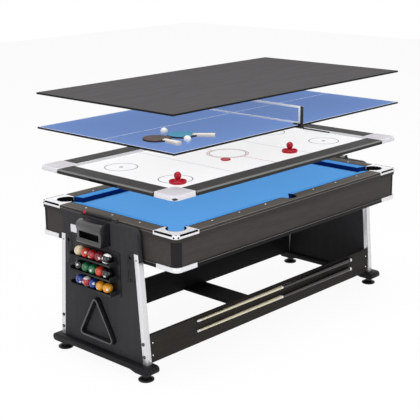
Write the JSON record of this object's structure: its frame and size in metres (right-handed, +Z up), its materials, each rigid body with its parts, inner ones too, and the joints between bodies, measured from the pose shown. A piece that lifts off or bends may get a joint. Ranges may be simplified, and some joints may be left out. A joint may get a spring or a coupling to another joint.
{
  "type": "multi game table",
  "caption": "Multi game table: a swivel pool cabinet on a two-panel stand, with lift-on air hockey, table tennis and dining tops",
  "frame": {"origin": "on the floor under the middle of the table", "axes": "+X along the table's length, away from the end with the ball rack; +Y across it, away from the side with the cues; +Z up"},
  "size_m": [2.2186, 1.146, 1.457],
  "materials": {
    "black_board": "black laminated board with a fine satin grain",
    "dark_laminate": "dark grey-brown laminate, satin",
    "rail_laminate": "grey-brown laminate, satin",
    "pool_cloth": "mid blue napped cloth",
    "bright_metal": "bright polished metal",
    "black_plastic": "black moulded plastic",
    "bead_plastic": "black gloss beads, the first one red",
    "grey_plastic": "silver-grey moulded plastic",
    "deck_plastic": "dark grey ribbed plastic",
    "white_board": "white smooth board with thin printed lines",
    "red_plastic": "red gloss moulding",
    "tennis_paint": "blue painted board with thin white lines",
    "net_mesh": "woven net with a white tape along the top",
    "grey_laminate": "grey laminate, satin, with a black edge band",
    "paddle_rubber": "dark rubber on a wooden blade",
    "ball_plastic": "gloss pool balls in several colours",
    "tennis_ball_plastic": "white matt",
    "cue_wood": "lacquered light wood shaft with a dark butt"
  },
  "bodies": {
    "stand": {"end_panel_near": "black_board", "goal_box_near": "black_plastic", "foot_beam_near": "black_plastic", "end_panel_far": "black_board", "goal_box_far": "black_plastic", "foot_beam_far": "black_plastic", "edge_channel_near_front": "bright_metal", "edge_channel_near_back": "bright_metal", "edge_channel_far_front": "bright_metal", "edge_channel_far_back": "bright_metal", "stretcher_front": "black_board", "stretcher_back": "black_board", "cross_brace": "black_board", "ball_rack": "black_plastic"},
    "cabinet": {"end_apron_near": "dark_laminate", "end_rail_near": "rail_laminate", "end_apron_far": "dark_laminate", "end_rail_far": "rail_laminate", "corner_pocket_near_front": "bright_metal", "corner_pocket_near_back": "bright_metal", "corner_pocket_far_front": "bright_metal", "corner_pocket_far_back": "bright_metal", "side_apron_front": "dark_laminate", "side_rail_front": "rail_laminate", "side_apron_back": "dark_laminate", "side_rail_back": "rail_laminate", "bottom_board": "dark_laminate", "playing_bed": "pool_cloth"},
    "air_hockey_deck": {"deck_end_rail_near": "deck_plastic", "deck_end_rail_far": "deck_plastic", "deck_cap_near_front": "grey_plastic", "deck_cap_near_back": "grey_plastic", "deck_cap_far_front": "grey_plastic", "deck_cap_far_back": "grey_plastic", "deck_side_rail_front": "deck_plastic", "deck_side_rail_back": "deck_plastic", "deck_field": "white_board"},
    "tennis_top": {"table_tennis_top": "tennis_paint", "table_net": "net_mesh"},
    "dining_top": {"dining_top": "grey_laminate"},
    "mallet_near": {"mallet_near": "red_plastic"},
    "mallet_far": {"mallet_far": "red_plastic"},
    "puck": {"puck": "red_plastic"},
    "paddle_1": {"paddle_1": "paddle_rubber"},
    "tennis_ball_1": {"tennis_ball_1": "tennis_ball_plastic"},
    "cue_1": {"cue_1": "cue_wood"},
    "paddle_2": {"paddle_2": "paddle_rubber"},
    "tennis_ball_2": {"tennis_ball_2": "tennis_ball_plastic"},
    "cue_2": {"cue_2": "cue_wood"},
    "ball_row_1": {"ball_row_1": "ball_plastic"},
    "ball_row_2": {"ball_row_2": "ball_plastic"},
    "ball_row_3": {"ball_row_3": "ball_plastic"},
    "triangle_rack": {"triangle_rack": "black_plastic"},
    "score_beads_near": {"score_beads_near": "bead_plastic"},
    "score_beads_far": {"score_beads_far": "bead_plastic"},
    "levelling_foot_near_front": {"levelling_foot_near_front": "black_plastic"},
    "levelling_foot_near_back": {"levelling_foot_near_back": "black_plastic"},
    "levelling_foot_far_front": {"levelling_foot_far_front": "black_plastic"},
    "levelling_foot_far_back": {"levelling_foot_far_back": "black_plastic"}
  },
  "joints": [
    {"name": "cabinet_swivel", "type": "hinge", "parent": "stand", "child": "cabinet", "pos_m": [0, 0, 0.7365], "axis": [1, 0, 0], "range_deg": [-60, 60]},
    {"name": "air_hockey_lift", "type": "slide", "parent": "cabinet", "child": "air_hockey_deck", "axis": [0, 0, 1], "range_m": [-0.167, 0]},
    {"name": "tennis_top_lift", "type": "slide", "parent": "air_hockey_deck", "child": "tennis_top", "axis": [0, 0, 1], "range_m": [-0.16, 0]},
    {"name": "dining_top_lift", "type": "slide", "parent": "tennis_top", "child": "dining_top", "axis": [0, 0, 1], "range_m": [-0.072, 0]},
    {"name": "mallet_near_push", "type": "slide", "parent": "air_hockey_deck", "child": "mallet_near", "axis": [0, 1, 0], "range_m": [-0.08, 0.5]},
    {"name": "mallet_far_push", "type": "slide", "parent": "air_hockey_deck", "child": "mallet_far", "axis": [0, 1, 0], "range_m": [-0.08, 0.5]},
    {"name": "puck_glide", "type": "slide", "parent": "air_hockey_deck", "child": "puck", "axis": [1, 0, 0], "range_m": [-0.3, 0.25]},
    {"name": "paddle_1_lift", "type": "slide", "parent": "tennis_top", "child": "paddle_1", "axis": [0, 0, 1], "range_m": [0, 0.08]},
    {"name": "tennis_ball_1_lift", "type": "slide", "parent": "tennis_top", "child": "tennis_ball_1", "axis": [0, 0, 1], "range_m": [0, 0.06]},
    {"name": "cue_1_take", "type": "slide", "parent": "stand", "child": "cue_1", "axis": [0, -1, 0], "range_m": [0, 0.12]},
    {"name": "paddle_2_lift", "type": "slide", "parent": "tennis_top", "child": "paddle_2", "axis": [0, 0, 1], "range_m": [0, 0.08]},
    {"name": "tennis_ball_2_lift", "type": "slide", "parent": "tennis_top", "child": "tennis_ball_2", "axis": [0, 0, 1], "range_m": [0, 0.06]},
    {"name": "cue_2_take", "type": "slide", "parent": "stand", "child": "cue_2", "axis": [0, -1, 0], "range_m": [0, 0.12]},
    {"name": "ball_row_1_take", "type": "slide", "parent": "stand", "child": "ball_row_1", "axis": [-0.9063, 0, 0.4226], "range_m": [0, 0.06]},
    {"name": "ball_row_2_take", "type": "slide", "parent": "stand", "child": "ball_row_2", "axis": [-0.9063, 0, 0.4226], "range_m": [0, 0.06]},
    {"name": "ball_row_3_take", "type": "slide", "parent": "stand", "child": "ball_row_3", "axis": [-0.9063, 0, 0.4226], "range_m": [0, 0.06]},
    {"name": "triangle_rack_take", "type": "slide", "parent": "stand", "child": "triangle_rack", "axis": [-1, 0, 0], "range_m": [0, 0.06]},
    {"name": "score_beads_near_slide", "type": "slide", "parent": "stand", "child": "score_beads_near", "axis": [0, -1, 0], "range_m": [0, 0.04]},
    {"name": "score_beads_far_slide", "type": "slide", "parent": "stand", "child": "score_beads_far", "axis": [0, -1, 0], "range_m": [0, 0.04]},
    {"name": "levelling_foot_near_front_turn", "type": "hinge", "parent": "stand", "child": "levelling_foot_near_front", "pos_m": [-1.029, -0.339, 0], "axis": [0, 0, 1], "continuous": true},
    {"name": "levelling_foot_near_back_turn", "type": "hinge", "parent": "stand", "child": "levelling_foot_near_back", "pos_m": [-1.029, 0.339, 0], "axis": [0, 0, 1], "continuous": true},
    {"name": "levelling_foot_far_front_turn", "type": "hinge", "parent": "stand", "child": "levelling_foot_far_front", "pos_m": [1.029, -0.339, 0], "axis": [0, 0, 1], "continuous": true},
    {"name": "levelling_foot_far_back_turn", "type": "hinge", "parent": "stand", "child": "levelling_foot_far_back", "pos_m": [1.029, 0.339, 0], "axis": [0, 0, 1], "continuous": true}
  ]
}
